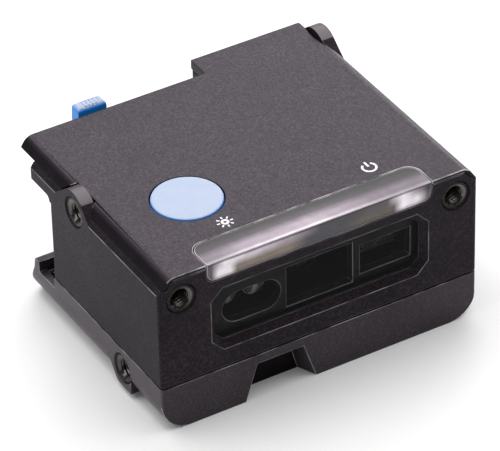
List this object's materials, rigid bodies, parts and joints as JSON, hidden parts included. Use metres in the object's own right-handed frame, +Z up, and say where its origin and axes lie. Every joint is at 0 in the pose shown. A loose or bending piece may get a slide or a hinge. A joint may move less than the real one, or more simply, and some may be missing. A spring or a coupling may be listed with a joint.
{
  "type": "fixed barcode reader",
  "caption": "Box-shaped fixed barcode reader with a bevelled scan window, light pipe, blue trigger button, cable release tab and threaded mounting inserts.",
  "frame": {"origin": "middle of the reader's outline on the mounting plane under the base", "axes": "+X to the right seen from the front, +Y from the scan window to the rear, +Z up through the cover"},
  "size_m": [0.051, 0.0438, 0.0266],
  "materials": {
    "housing_plastic": "fine spark-eroded grain",
    "cover_plastic": "fine spark-eroded grain",
    "base_plastic": "fine spark-eroded grain",
    "seal_rubber": "smooth",
    "clear_plastic": "polished, slightly smoky",
    "window_plastic": "polished",
    "bezel_plastic": "matt",
    "lens_glass": "polished",
    "board": "solder mask",
    "chip": "moulded epoxy",
    "led": "moulded",
    "connector": "moulded",
    "contact_metal": "gold plated",
    "blue_plastic": "satin",
    "steel": "zinc plated",
    "insert_metal": "knurled, dull dark plated"
  },
  "bodies": {
    "reader": {"main_housing": "housing_plastic", "top_cover": "cover_plastic", "base": "base_plastic", "base_seal": "seal_rubber", "light_pipe": "clear_plastic", "front_window": "window_plastic", "window_seal": "seal_rubber", "optic_bezel": "bezel_plastic", "engine_chassis": "bezel_plastic", "illumination_board": "board", "illumination_leds": "led", "illumination_lenses": "lens_glass", "camera_barrel": "bezel_plastic", "camera_lens": "lens_glass", "image_sensor": "chip", "aimer_lens": "lens_glass", "aimer_diode": "contact_metal", "engine_board": "board", "board_connector": "connector", "main_board": "board", "decoder_chip": "chip", "memory_chip": "chip", "buzzer": "chip", "status_led": "led", "power_led": "led", "tact_switch": "chip", "cable_socket": "bezel_plastic", "socket_contacts": "contact_metal", "lever_pin": "steel", "lever_spring": "steel", "front_inserts": "insert_metal", "side_inserts": "insert_metal", "base_inserts": "insert_metal", "base_screws": "steel", "board_screws": "steel"},
    "button": {"trigger_button": "blue_plastic", "switch_plunger": "connector"},
    "lever": {"release_lever": "blue_plastic"}
  },
  "joints": [
    {"name": "button_press", "type": "slide", "parent": "reader", "child": "button", "axis": [0, 0, -1], "range_m": [0, 0.0004], "stiffness_N_per_m": 2000},
    {"name": "lever_press", "type": "hinge", "parent": "reader", "child": "lever", "pos_m": [-0.0129, 0.0106, 0.0216], "axis": [-1, 0, 0], "range_deg": [0, 5.5], "stiffness_Nm_per_rad": 0.05, "deforming": ["lever_spring"]}
  ]
}
